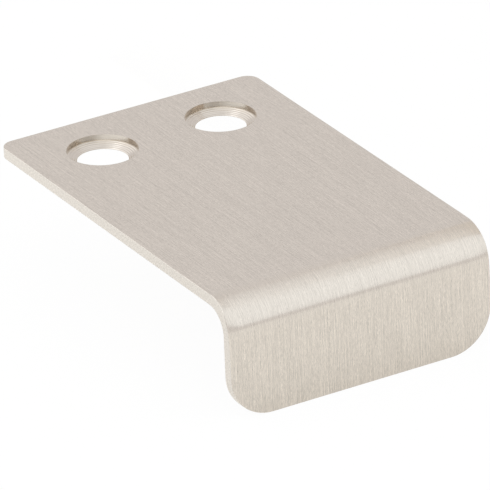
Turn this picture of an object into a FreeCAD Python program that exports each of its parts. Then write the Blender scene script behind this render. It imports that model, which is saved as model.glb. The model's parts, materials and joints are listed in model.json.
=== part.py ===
"""Tab pull: one sheet folded into a flat screw plate with a finger lip along its front edge.

Millimetres. The origin is midway between the two screw holes, on the plate's underside, which is
the face that seats on a drawer or door. X runs along the hole line, the back edge is towards +Y,
the lip towards -Y, and +Z leaves the countersunk face.
"""
import FreeCAD, Part
import math
import os

from FreeCAD import Vector

# Sheet and fold
plate_width = 41.0
plate_depth = 62.6
lip_height = 17.25
sheet_thickness = 1.6
bend_inner_radius = 3.5
back_corner_radius = 2.0
lip_corner_radius = 6.4
edge_round = 0.2

# Screw holes, countersunk from the top face
hole_spacing = 19.0
hole_setback = 9.95
hole_diameter = 7.2
countersink_diameter = 10.1
countersink_angle = 132.0
countersink_wall = 0.85

# Planes and centres that follow from the sizes above
half_width = plate_width / 2
top_z = sheet_thickness
lip_bottom_z = top_z - lip_height
back_y = hole_setback
front_y = back_y - plate_depth
bend_outer_radius = bend_inner_radius + sheet_thickness
bend_y = front_y + bend_outer_radius
bend_z = top_z - bend_outer_radius
overrun = sheet_thickness
half_turn_sine = math.sqrt(0.5)
smooth_limit = math.radians(10)


def line(start, end):
    return Part.LineSegment(start, end).toShape()


def arc(start, middle, end):
    return Part.Arc(start, middle, end).toShape()


def folded_strip():
    """The sheet's section, plate, bend and lip, drawn out over the full width."""

    def at(y, z):
        return Vector(-half_width, y, z)

    def bend_middle(radius):
        return at(bend_y - radius * half_turn_sine, bend_z + radius * half_turn_sine)

    lip_back_y = front_y + sheet_thickness
    section = [
        line(at(back_y, 0), at(back_y, top_z)),
        line(at(back_y, top_z), at(bend_y, top_z)),
        arc(at(bend_y, top_z), bend_middle(bend_outer_radius), at(front_y, bend_z)),
        line(at(front_y, bend_z), at(front_y, lip_bottom_z)),
        line(at(front_y, lip_bottom_z), at(lip_back_y, lip_bottom_z)),
        line(at(lip_back_y, lip_bottom_z), at(lip_back_y, bend_z)),
        arc(at(lip_back_y, bend_z), bend_middle(bend_inner_radius), at(bend_y, 0)),
        line(at(bend_y, 0), at(back_y, 0)),
    ]
    return Part.Face(Part.Wire(section)).extrude(Vector(plate_width, 0, 0))


def rounded_end(place, reach, radius):
    """A full-width outline whose end at v = 0 has rounded corners; place maps (u, v) to a point."""
    inset = radius * (1 - half_turn_sine)
    outline = [
        line(place(-half_width, reach), place(-half_width, radius)),
        arc(place(-half_width, radius), place(inset - half_width, inset), place(radius - half_width, 0)),
        line(place(radius - half_width, 0), place(half_width - radius, 0)),
        arc(place(half_width - radius, 0), place(half_width - inset, inset), place(half_width, radius)),
        line(place(half_width, radius), place(half_width, reach)),
        line(place(half_width, reach), place(-half_width, reach)),
    ]
    return Part.Face(Part.Wire(outline))


def plan_prism():
    """The plate's outline from above, with its rounded back corners."""
    floor_z = lip_bottom_z - overrun
    outline = rounded_end(
        lambda u, v: Vector(u, back_y - v, floor_z), plate_depth + overrun, back_corner_radius
    )
    return outline.extrude(Vector(0, 0, lip_height + 2 * overrun))


def front_prism():
    """The lip's outline from the front, with its rounded lower corners."""
    start_y = front_y - overrun
    outline = rounded_end(
        lambda u, v: Vector(u, start_y, lip_bottom_z + v), lip_height + overrun, lip_corner_radius
    )
    return outline.extrude(Vector(0, plate_depth + 2 * overrun, 0))


def face_normal(face, point):
    return face.normalAt(*face.Surface.parameter(point))


def cut_edges(solid):
    """The edges where two faces meet at an angle: both rims of the cut sheet, not its bend lines."""
    found = []
    for edge in solid.Edges:
        middle = edge.valueAt((edge.FirstParameter + edge.LastParameter) / 2)
        normals = [face_normal(face, middle) for face in solid.ancestorsOfType(edge, Part.Face)]
        if normals[0].getAngle(normals[1]) > smooth_limit:
            found.append(edge)
    return found


def screw_hole_cutter(x):
    """A narrow land, a wide countersink cone and a straight wall above, turned about one hole's axis."""
    hole_radius = hole_diameter / 2
    rim_radius = countersink_diameter / 2
    cone_top = top_z - countersink_wall
    cone_foot = cone_top - (rim_radius - hole_radius) / math.tan(math.radians(countersink_angle / 2))
    low = min(cone_foot, 0) - overrun
    profile = [
        Vector(x, 0, low),
        Vector(x + hole_radius, 0, low),
        Vector(x + hole_radius, 0, cone_foot),
        Vector(x + rim_radius, 0, cone_top),
        Vector(x + rim_radius, 0, top_z + overrun),
        Vector(x, 0, top_z + overrun),
        Vector(x, 0, low),
    ]
    return Part.Face(Part.makePolygon(profile)).revolve(Vector(x, 0, 0), Vector(0, 0, 1), 360)


def tab_pull():
    blank = folded_strip().common(plan_prism()).common(front_prism()).removeSplitter()
    blank = blank.Solids[0]
    pull = blank.makeFillet(edge_round, cut_edges(blank))
    for x in (-hole_spacing / 2, hole_spacing / 2):
        pull = pull.cut(screw_hole_cutter(x))
    return pull.Solids[0]


os.makedirs("parts", exist_ok=True)
tab_pull().exportStep("parts/tab_pull.step")
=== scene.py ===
"""Looks of the tab pull: a folded sheet of warm brushed metal on a pale floor, under soft lights.

The sheet is drawn as the flat blank that it is cut from, in millimetres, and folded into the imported
part's frame in metres. X runs along the hole line, the lip is towards -Y and +Z is up.
"""
import json
import math
import bmesh
import bpy
from mathutils import Matrix, Vector


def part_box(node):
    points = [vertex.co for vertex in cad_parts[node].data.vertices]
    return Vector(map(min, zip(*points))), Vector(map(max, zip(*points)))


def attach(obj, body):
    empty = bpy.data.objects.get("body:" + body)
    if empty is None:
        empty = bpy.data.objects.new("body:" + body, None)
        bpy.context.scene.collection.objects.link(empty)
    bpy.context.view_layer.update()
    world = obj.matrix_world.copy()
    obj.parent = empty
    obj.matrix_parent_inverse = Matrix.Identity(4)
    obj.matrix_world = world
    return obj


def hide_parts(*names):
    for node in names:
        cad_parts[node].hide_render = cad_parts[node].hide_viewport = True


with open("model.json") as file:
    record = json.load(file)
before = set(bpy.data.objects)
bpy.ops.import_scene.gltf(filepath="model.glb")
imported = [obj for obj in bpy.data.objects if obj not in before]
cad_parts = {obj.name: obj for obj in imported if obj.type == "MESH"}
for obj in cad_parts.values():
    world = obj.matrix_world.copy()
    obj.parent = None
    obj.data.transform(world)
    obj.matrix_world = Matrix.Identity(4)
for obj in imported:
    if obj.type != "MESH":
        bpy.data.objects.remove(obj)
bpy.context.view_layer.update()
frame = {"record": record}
MM = 0.001

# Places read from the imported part, in millimetres
node_low, node_high = (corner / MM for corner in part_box("tab_pull"))
holes = next(mount["dims"] for mount in frame["record"]["mounts"] if mount["name"] == "screw_holes")
half_width = node_high.x
back_y = node_high.y
front_y = node_low.y
top_z = node_high.z
lip_bottom_z = node_low.z
hole_centres = (-holes["spacing_x_mm"] / 2, holes["spacing_x_mm"] / 2)
hole_radius = holes["hole_r_mm"]

# Sheet, fold and edges, in millimetres
sheet = top_z
bend_inner_radius = 3.5
bend_outer_radius = bend_inner_radius + sheet
back_corner_radius = 2.0
lip_corner_radius = 6.4
edge_round = 0.12
bend_y = front_y + bend_outer_radius
bend_z = top_z - bend_outer_radius
bend_run = bend_outer_radius * math.pi / 2
lip_start_y = bend_y - bend_run
blank_front_y = lip_start_y - (bend_z - lip_bottom_z)

# Ends of the bend, which bending swelled near the plate and drew in near the lip, in millimetres
LEFT, RIGHT = -1, 1
swell = {LEFT: 0.22, RIGHT: -0.1}
swell_along = (-1.5, 2.4, 5.5)
draw = {LEFT: 0.3, RIGHT: 0.12}
draw_along = (3.5, 6.8, 11.0)
end_width = 2.7

# Countersinks, in millimetres and degrees
countersink_radius = 5.05
countersink_wall = 0.85
countersink_angle = 132.0
hole_break = 0.05
cutter_rings = 5
cutter_ring_depth = 0.02

# Mesh density
corner_steps = 20
edge_steps = 6
brushed_steps = 3
hole_steps = 128
ring_steps = 6
bend_rows = 40
row_pitch = 2.0
column_pitch = 2.0
end_columns = 6
cut_tolerance = 1e-4
sharp_angle = 30.0

# Material slots, the UV map they use and the Mix node's colour sockets
BRUSHED, CUT, TURNED = range(3)
FLAT_MAP = "flat_pattern"
MIX_FACTOR, MIX_A, MIX_B = 0, 6, 7
MIX_RESULT = 2
noise_middle = (0.25, 0.75)

# Brushed faces: each grain layer has its streaks' width and length in millimetres, and its weight
metal_colour = (0.665, 0.61, 0.541)
brushed_roughness = (0.25, 0.27)
brushed_anisotropy = 0.8
grain_layers = ((0.12, 0.4, 0.38), (0.12, 1.6, 0.24), (0.1, 8.0, 0.38))
grain_detail = 1.0
streak_stagger = 4.0
grain_depth = 0.01
grain_contrast = 0.36
grain_change = 1.5
plate_grain = 0.9
bend_grain = 0.6
lip_grain = 1.0

# Cut edges, with granules in millimetres
cut_colour = (0.81, 0.77, 0.71)
cut_contrast = 0.12
cut_roughness = 0.7
cut_anisotropy = 0.0
granule = 0.25

# Turned countersinks, with streaks in millimetres
turned_streak_width = 0.12
turned_streak_length = 6.0
turned_detail = 2.0
turned_contrast = 0.08
turned_roughness = 0.17
turned_anisotropy = 0.5

# Camera, solved from the photograph, in millimetres and degrees, with its clipping in metres
camera_azimuth = -29.7653
camera_elevation = 25.53
camera_roll = -2.2591
camera_distance = 1107.153
camera_target = Vector((0.0, -20.0, -3.0))
camera_aim_right = 1.1706
camera_aim_up = -4.281
camera_lens = 592.5
sensor_width = 36.0
clip_near = 0.01
clip_far = 10.0

# Floor and surroundings, in metres, with the gap under the lip in millimetres
world_colour = (0.867, 0.851, 0.864)
floor_gap = 0.05
floor_z = (lip_bottom_z - floor_gap) * MM
floor_reach = 3.0
floor_colour = (0.935, 0.926, 0.9)
floor_white = 1.0
camera_white_share = 0.96
mirror_white_share = 0.35

# Lights, in metres and degrees
softbox_distance = 1.2
softbox_elevation = 65.0
softbox_x = 0.9
softbox_width = 3.6
softbox_height = 3.6
softbox_radiance = 0.395
softbox_colour = (0.87, 1.01, 1.08)
softbox_fade = (0.948, 0.415)
side_colour = (0.95, 1.0, 1.05)
back_lamp = {"azimuth": -152.0, "elevation": 46.0, "distance": 1.5, "size": 1.3, "radiance": 0.38}
left_lamp = {"azimuth": -80.0, "elevation": 50.0, "distance": 0.8, "size": 1.15, "radiance": 0.48}

# Cards that the metal mirrors, in metres: one stands beside the plate as painted shade, a warm sheet in
# the place of the shaded floor under the plate; one hangs level to the right
shade_card_x = 0.025
shade_card_y = (-0.045, 0.06)
shade_card_top_z = 0.0
# Painted shade: the card's warm colour stands for the floor under the plate, in shade and lit brown by
# light off the metal
shade_card_colour = (0.95, 0.85, 0.74)
flag_x = (0.062, 0.2)
flag_y = (-0.064, 0.02)
flag_z = 0.08
flag_colour = (0.82, 0.775, 0.735)


def add_node(tree, kind, inputs=(), **settings):
    """Adds a shader node, sets its properties, and sets or links its inputs."""
    node = tree.nodes.new(kind)
    for name, value in settings.items():
        setattr(node, name, value)
    for name, value in dict(inputs).items():
        if isinstance(value, bpy.types.NodeSocket):
            tree.links.new(value, node.inputs[name])
        else:
            node.inputs[name].default_value = value
    return node


def calculate(tree, operation, *values):
    """The result of a Math node on these numbers or sockets."""
    return add_node(tree, "ShaderNodeMath", dict(enumerate(values)), operation=operation).outputs[0]


def ramp(tree, value, start, end, low, high):
    """A value taken from the range start to end onto low to high, and held at its ends."""
    return add_node(
        tree, "ShaderNodeMapRange",
        {"Value": value, "From Min": start, "From Max": end, "To Min": low, "To Max": high},
    ).outputs["Result"]


def spread(tree, value, low, high):
    """A noise value's middle range taken to low and high."""
    return ramp(tree, value, *noise_middle, low, high)


def weighted_sum(tree, parts):
    """The sum of noise values, each times its weight."""
    total = 0.0
    for value, weight in parts:
        total = calculate(tree, "MULTIPLY_ADD", value, weight, total)
    return total


def new_material(name):
    """An empty node material and its node tree."""
    material = bpy.data.materials.new(name)
    material.use_nodes = True
    material.node_tree.nodes.clear()
    return material, material.node_tree


def streaks(tree, across, along, detail):
    """Noise drawn out into staggered streaks of about this width and length in millimetres."""
    place = add_node(tree, "ShaderNodeUVMap", uv_map=FLAT_MAP)
    scaled = add_node(
        tree, "ShaderNodeVectorMath",
        {0: place.outputs["UV"], 1: (1 / across, 1 / along, 1.0)}, operation="MULTIPLY",
    )
    split = add_node(tree, "ShaderNodeSeparateXYZ", {"Vector": scaled.outputs["Vector"]})
    stagger = add_node(
        tree, "ShaderNodeTexNoise",
        {"W": split.outputs["X"], "Scale": 1.0, "Detail": 0.0}, noise_dimensions="1D",
    )
    shifted = calculate(
        tree, "MULTIPLY_ADD", stagger.outputs["Fac"], streak_stagger, split.outputs["Y"],
    )
    moved = add_node(tree, "ShaderNodeCombineXYZ", {"X": split.outputs["X"], "Y": shifted})
    noise = add_node(
        tree, "ShaderNodeTexNoise",
        {"Vector": moved.outputs["Vector"], "Scale": 1.0, "Detail": detail}, noise_dimensions="2D",
    )
    return noise.outputs["Fac"]


def varied_colour(tree, colour, amount, value):
    """The colour made darker and lighter by up to this share as the noise value rises."""
    dark = (*(part * (1 - amount) for part in colour), 1.0)
    light = (*(part * (1 + amount) for part in colour), 1.0)
    share = spread(tree, value, 0.0, 1.0)
    mix = add_node(
        tree, "ShaderNodeMix", {MIX_FACTOR: share, MIX_A: dark, MIX_B: light}, data_type="RGBA",
    )
    return mix.outputs[MIX_RESULT]


def metal(tree, colour, roughness, anisotropy, bump=None):
    """A metal surface whose lobe is wide across the grooves, along U of the flat pattern."""
    tangent = add_node(tree, "ShaderNodeTangent", direction_type="UV_MAP", uv_map=FLAT_MAP)
    inputs = {
        "Base Color": colour, "Metallic": 1.0, "Roughness": roughness, "Anisotropic": anisotropy,
        "Tangent": tangent.outputs[0],
    }
    if bump is not None:
        inputs["Normal"] = bump
    surface = add_node(tree, "ShaderNodeBsdfPrincipled", inputs)
    add_node(tree, "ShaderNodeOutputMaterial", {"Surface": surface.outputs["BSDF"]})


def grain_gain(tree):
    """Strength of the streaks by the place along the flat pattern: plate, bend or lip."""
    place = add_node(tree, "ShaderNodeUVMap", uv_map=FLAT_MAP)
    along = add_node(tree, "ShaderNodeSeparateXYZ", {"Vector": place.outputs["UV"]}).outputs["Y"]
    half_change = grain_change / 2
    onto_bend = ramp(tree, along, bend_y + half_change, bend_y - half_change, plate_grain, bend_grain)
    onto_lip = ramp(tree, along, lip_start_y + grain_change, lip_start_y, 0.0, lip_grain - bend_grain)
    return calculate(tree, "ADD", onto_bend, onto_lip)


def brushed_material():
    """Sheet faces: fine streaks from the back edge over the bend and down the lip."""
    material, tree = new_material("brushed_sheet")
    grain = weighted_sum(tree, [
        (streaks(tree, across, along, grain_detail), weight) for across, along, weight in grain_layers
    ])
    bump = add_node(
        tree, "ShaderNodeBump", {"Height": grain, "Strength": 1.0, "Distance": grain_depth * MM},
    )
    centred = calculate(tree, "SUBTRACT", grain, 0.5)
    zoned = calculate(tree, "MULTIPLY_ADD", centred, grain_gain(tree), 0.5)
    colour = varied_colour(tree, metal_colour, grain_contrast, zoned)
    metal(tree, colour, spread(tree, grain, *brushed_roughness), brushed_anisotropy, bump.outputs[0])
    return material


def cut_material():
    """Cut edges: paler and finely granular."""
    material, tree = new_material("cut_edge")
    place = add_node(tree, "ShaderNodeTexCoord")
    noise = add_node(
        tree, "ShaderNodeTexNoise", {"Vector": place.outputs["Object"], "Scale": 1 / (granule * MM)},
    )
    colour = varied_colour(tree, cut_colour, cut_contrast, noise.outputs["Fac"])
    metal(tree, colour, cut_roughness, cut_anisotropy)
    return material


def turned_material():
    """Countersinks: bright metal turned by the cutter."""
    material, tree = new_material("turned_countersink")
    rings = streaks(tree, turned_streak_width, turned_streak_length, turned_detail)
    colour = varied_colour(tree, metal_colour, turned_contrast, rings)
    metal(tree, colour, turned_roughness, turned_anisotropy)
    return material


def blank_outline():
    """Points of the flat blank's outline, anticlockwise from above, each with its outward direction."""
    corners = (
        (half_width, back_y, back_corner_radius, 0),
        (-half_width, back_y, back_corner_radius, 90),
        (-half_width, blank_front_y, lip_corner_radius, 180),
        (half_width, blank_front_y, lip_corner_radius, 270),
    )
    points = []
    for x, y, radius, start in corners:
        centre = Vector((x - math.copysign(radius, x), y - math.copysign(radius, y)))
        for step in range(corner_steps + 1):
            angle = math.radians(start + 90 * step / corner_steps)
            out = Vector((math.cos(angle), math.sin(angle)))
            points.append((centre + radius * out, out))
    return points


def edge_profile():
    """Inset and height of each ring round the cut edge, from the outer face to the inner one."""
    upper = []
    for step in range(edge_steps + 1):
        angle = math.pi / 2 * step / edge_steps
        upper.append((edge_round * (1 - math.sin(angle)), sheet - edge_round * (1 - math.cos(angle))))
    return upper + [(inset, sheet - height) for inset, height in reversed(upper)]


def hole_profile():
    """Radius and height of each ring down a countersunk hole, from the outer face to the inner one."""
    slope = math.radians(countersink_angle / 2)
    cone_top = Vector((countersink_radius, sheet - countersink_wall))
    down_cone = Vector((-1.0, -1 / math.tan(slope))) * (countersink_radius - hole_radius)
    lift_way = Vector((-math.cos(slope), math.sin(slope)))
    rings = [Vector((countersink_radius, sheet)), cone_top]
    ring_count = cutter_rings * ring_steps
    for step in range(1, ring_count + 1):
        lift = cutter_ring_depth * math.sin(math.pi * step / ring_steps) ** 2
        rings.append(cone_top + down_cone * step / ring_count + lift_way * lift)
    return rings + [(hole_radius, hole_break), (hole_radius + hole_break, 0.0)]


def add_ring(mesh, points):
    """New points of the mesh, in order round a ring."""
    return [mesh.verts.new(point) for point in points]


def skin(mesh, upper, lower, material):
    """Faces between two rings of as many points."""
    count = len(upper)
    for i in range(count):
        j = (i + 1) % count
        face = mesh.faces.new((upper[i], lower[i], lower[j], upper[j]))
        face.material_index = material


def ring_edges(mesh, ring):
    """The edges that join a ring's points."""
    return [mesh.edges.get((a, b)) for a, b in zip(ring, ring[1:] + ring[:1])]


def hole_rings(mesh, hole_x):
    """The rings of points down one countersunk hole."""
    turns = [2 * math.pi * step / hole_steps for step in range(hole_steps)]
    circle = [(math.cos(turn), math.sin(turn)) for turn in turns]
    return [
        add_ring(mesh, [(hole_x + radius * x, radius * y, height) for x, y in circle])
        for radius, height in hole_profile()
    ]


def flat_blank():
    """The blank as a closed mesh lying flat, with its rounded edge and countersunk holes."""
    mesh = bmesh.new()
    outline = blank_outline()
    rings = [
        add_ring(mesh, [(*(point - inset * out), height) for point, out in outline])
        for inset, height in edge_profile()
    ]
    for step, (upper, lower) in enumerate(zip(rings, rings[1:])):
        skin(mesh, upper, lower, BRUSHED if step < brushed_steps else CUT)
    outer_edges = ring_edges(mesh, rings[0])
    inner_edges = ring_edges(mesh, rings[-1])
    for hole_x in hole_centres:
        down_hole = hole_rings(mesh, hole_x)
        for upper, lower in zip(down_hole, down_hole[1:]):
            skin(mesh, lower, upper, TURNED)
        outer_edges += ring_edges(mesh, down_hole[0])
        inner_edges += ring_edges(mesh, down_hole[-1])
    bmesh.ops.triangle_fill(mesh, use_beauty=True, edges=outer_edges, normal=(0, 0, 1))
    bmesh.ops.triangle_fill(mesh, use_beauty=True, edges=inner_edges, normal=(0, 0, -1))
    return mesh


def cut_rows(mesh):
    """Cuts the blank along rows and columns, close together where it bends."""
    plate_rows = int((back_y - bend_y) / row_pitch)
    lip_rows = int((bend_z - lip_bottom_z) / row_pitch)
    rows = [bend_y - bend_run * step / bend_rows for step in range(bend_rows + 1)]
    rows += [bend_y + row_pitch * step for step in range(1, plate_rows)]
    rows += [lip_start_y - row_pitch * step for step in range(1, lip_rows)]
    inner_columns = int((half_width - end_width) / column_pitch)
    columns = [column_pitch * step for step in range(-inner_columns, inner_columns + 1)]
    for step in range(1, end_columns + 1):
        x = half_width - end_width * step / end_columns
        columns += [-x, x]
    planes = [((0, y, 0), (0, 1, 0)) for y in rows] + [((x, 0, 0), (1, 0, 0)) for x in columns]
    for place, normal in planes:
        everything = mesh.verts[:] + mesh.edges[:] + mesh.faces[:]
        bmesh.ops.bisect_plane(
            mesh, geom=everything, dist=cut_tolerance, plane_co=place, plane_no=normal,
        )


def map_flat_pattern(mesh):
    """Writes each corner's unfolded place as a UV map: on the sheet, or down and round a hole."""
    layer = mesh.loops.layers.uv.new(FLAT_MAP)
    for face in mesh.faces:
        if face.material_index == TURNED:
            middle = face.calc_center_median()
            hole_x = min(hole_centres, key=lambda x: abs(middle.x - x))
            facing = math.atan2(middle.y, middle.x - hole_x)
            for loop in face.loops:
                x, y, z = loop.vert.co
                turn = math.remainder(math.atan2(y, x - hole_x) - facing, 2 * math.pi) + facing
                loop[layer].uv = (math.hypot(x - hole_x, y) - z, turn * countersink_radius)
        else:
            for loop in face.loops:
                loop[layer].uv = (loop.vert.co.x, loop.vert.co.y)


def share_along(run, places):
    """A smooth rise and fall along the sheet: 0 at the first and last place, 1 at the middle one."""
    first, middle, last = places
    reach = middle - first if run < middle else last - middle
    return math.cos(min(abs(run - middle) / reach, 1.0) * math.pi / 2) ** 2


def swell_ends(point):
    """Lifts and draws in the outer face at the ends of the bend; the inner face keeps its place."""
    run = bend_y - point.y
    hand = LEFT if point.x < 0 else RIGHT
    near = max(1 - (half_width - abs(point.x)) / end_width, 0.0) ** 2
    shift = swell[hand] * share_along(run, swell_along) - draw[hand] * share_along(run, draw_along)
    return Vector((point.x, point.y, point.z * (1 + near * shift / sheet)))


def fold(point):
    """The folded place, in metres, of a point on the flat blank."""
    run = bend_y - point.y
    if run <= 0:
        return point * MM
    radius = bend_inner_radius + point.z
    if run >= bend_run:
        return Vector((point.x, bend_y - radius, bend_z - (run - bend_run))) * MM
    angle = run / bend_outer_radius
    return Vector((point.x, bend_y - radius * math.sin(angle), bend_z + radius * math.cos(angle))) * MM


def pull_piece():
    """The folded sheet as one piece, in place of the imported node."""
    mesh = flat_blank()
    cut_rows(mesh)
    bmesh.ops.recalc_face_normals(mesh, faces=mesh.faces[:])
    map_flat_pattern(mesh)
    for vert in mesh.verts:
        vert.co = fold(swell_ends(vert.co))
    for face in mesh.faces:
        face.smooth = True
    data = bpy.data.meshes.new("pull_sheet")
    mesh.to_mesh(data)
    mesh.free()
    for material in (brushed_material(), cut_material(), turned_material()):
        data.materials.append(material)
    piece = bpy.data.objects.new("pull_sheet", data)
    bpy.context.scene.collection.objects.link(piece)
    data.set_sharp_from_angle(angle=math.radians(sharp_angle))
    weighted = piece.modifiers.new("face_normals", "WEIGHTED_NORMAL")
    weighted.keep_sharp = True
    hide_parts("tab_pull")
    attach(piece, "root")


def mix_shaders(tree, share, first, second):
    """A node that goes from the first shader to the second as the share goes from 0 to 1."""
    return add_node(tree, "ShaderNodeMixShader", {0: share, 1: first.outputs[0], 2: second.outputs[0]})


def floor_material():
    """Pale paint that shows white to the camera and partly in the metal, and is clear from below."""
    material, tree = new_material("pale_floor")
    path = add_node(tree, "ShaderNodeLightPath").outputs
    mirrored = calculate(tree, "MAXIMUM", path["Is Glossy Ray"], path["Is Transmission Ray"])
    camera_part = calculate(tree, "MULTIPLY", path["Is Camera Ray"], camera_white_share)
    share = calculate(tree, "MULTIPLY_ADD", mirrored, mirror_white_share, camera_part)
    paint = add_node(tree, "ShaderNodeBsdfDiffuse", {"Color": (*floor_colour, 1.0)})
    glow = add_node(tree, "ShaderNodeEmission", {"Strength": floor_white})
    clear = add_node(tree, "ShaderNodeBsdfTransparent")
    below = add_node(tree, "ShaderNodeNewGeometry").outputs["Backfacing"]
    surface = mix_shaders(tree, below, mix_shaders(tree, share, paint, glow), clear)
    add_node(tree, "ShaderNodeOutputMaterial", {"Surface": surface.outputs[0]})
    return material


def stage_sheet(name, corners, material):
    """A four-cornered sheet that belongs to the stage, not to the part."""
    mesh = bpy.data.meshes.new(name)
    mesh.from_pydata(corners, [], [(0, 1, 3, 2)])
    mesh.materials.append(material)
    sheet_object = bpy.data.objects.new(name, mesh)
    bpy.context.scene.collection.objects.link(sheet_object)
    return sheet_object


def white_floor():
    """A wide floor just under the lip, which keeps a soft shadow."""
    ends = (-floor_reach, floor_reach)
    stage_sheet("pale_floor", [(x, y, floor_z) for y in ends for x in ends], floor_material())


def mirrored_card(name, corners, colour):
    """A matt card that shows only in what the metal mirrors."""
    material, tree = new_material(name)
    paint = add_node(tree, "ShaderNodeBsdfDiffuse", {"Color": (*colour, 1.0)})
    add_node(tree, "ShaderNodeOutputMaterial", {"Surface": paint.outputs[0]})
    card = stage_sheet(name, corners, material)
    card.visible_camera = False


def shade_card():
    """A warm card beside the plate: painted shade, which the walls of the holes mirror in the place of
    the shaded floor under the plate.
    """
    corners = [(shade_card_x, y, z) for y in shade_card_y for z in (floor_z, shade_card_top_z)]
    mirrored_card("shade_card", corners, shade_card_colour)


def pale_flag():
    """A pale card that hangs level, which narrows the bright band at the bend's right end."""
    mirrored_card("flag", [(x, y, flag_z) for y in flag_y for x in flag_x], flag_colour)


def pale_world():
    """Even pale surroundings."""
    world = bpy.data.worlds.new("pale_surroundings")
    world.use_nodes = True
    world.node_tree.nodes["Background"].inputs["Color"].default_value = (*world_colour, 1.0)
    bpy.context.scene.world = world


def direction(azimuth, elevation):
    """The way to a place at these degrees, with the azimuth from the front towards the right."""
    turn = math.radians(azimuth)
    rise = math.radians(elevation)
    return Vector((math.sin(turn) * math.cos(rise), -math.cos(turn) * math.cos(rise), math.sin(rise)))


def hang_lamp(light, place, towards):
    """Hangs a light, unseen by the camera, so that it shines back along the way given."""
    lamp = bpy.data.objects.new(light.name, light)
    lamp.location = place
    lamp.rotation_mode = "QUATERNION"
    lamp.rotation_quaternion = (-towards).to_track_quat("-Z", "Y")
    lamp.visible_camera = False
    bpy.context.scene.collection.objects.link(lamp)


def softbox():
    """A wide round light overhead, in front and to the right, which fades out towards its back."""
    light = bpy.data.lights.new("softbox", "AREA")
    light.shape = "ELLIPSE"
    light.size = softbox_width
    light.size_y = softbox_height
    light.energy = softbox_radiance * math.pi * (math.pi / 4 * softbox_width * softbox_height)
    light.color = softbox_colour
    light.use_nodes = True
    tree = light.node_tree
    place = add_node(tree, "ShaderNodeNewGeometry")
    along = add_node(tree, "ShaderNodeSeparateXYZ", {"Vector": place.outputs["Parametric"]})
    fade = ramp(tree, along.outputs["Y"], *softbox_fade, 0.0, 1.0)
    tree.links.new(fade, tree.nodes["Emission"].inputs["Strength"])
    towards = direction(0.0, softbox_elevation)
    hang_lamp(light, towards * softbox_distance + Vector((softbox_x, 0.0, 0.0)), towards)


def side_lamp(name, azimuth, elevation, distance, size, radiance):
    """A square soft light aimed at the part."""
    light = bpy.data.lights.new(name, "AREA")
    light.size = size
    light.energy = radiance * math.pi * size ** 2
    light.color = side_colour
    towards = direction(azimuth, elevation)
    hang_lamp(light, towards * distance, towards)


def photo_camera():
    """A long-lens camera at the photograph's angle."""
    away = direction(camera_azimuth, camera_elevation)
    roll = math.radians(camera_roll)
    level_right = (-away).cross(Vector((0, 0, 1))).normalized()
    level_up = level_right.cross(-away)
    right = math.cos(roll) * level_right + math.sin(roll) * level_up
    up = -math.sin(roll) * level_right + math.cos(roll) * level_up
    place = camera_target + away * camera_distance
    aim = camera_target + camera_aim_right * right + camera_aim_up * up
    back = (place - aim).normalized()
    right = up.cross(back).normalized()
    up = back.cross(right)
    turn = Matrix((right, up, back)).transposed()
    data = bpy.data.cameras.new("photo_camera")
    data.lens = camera_lens
    data.sensor_width = sensor_width
    data.clip_start = clip_near
    data.clip_end = clip_far
    camera = bpy.data.objects.new("photo_camera", data)
    camera.matrix_world = Matrix.Translation(place * MM) @ turn.to_4x4()
    bpy.context.scene.collection.objects.link(camera)
    bpy.context.scene.camera = camera


pull_piece()
white_floor()
pale_world()
softbox()
side_lamp("back_lamp", **back_lamp)
side_lamp("left_lamp", **left_lamp)
shade_card()
pale_flag()
photo_camera()
bpy.context.scene.view_settings.view_transform = "Standard"
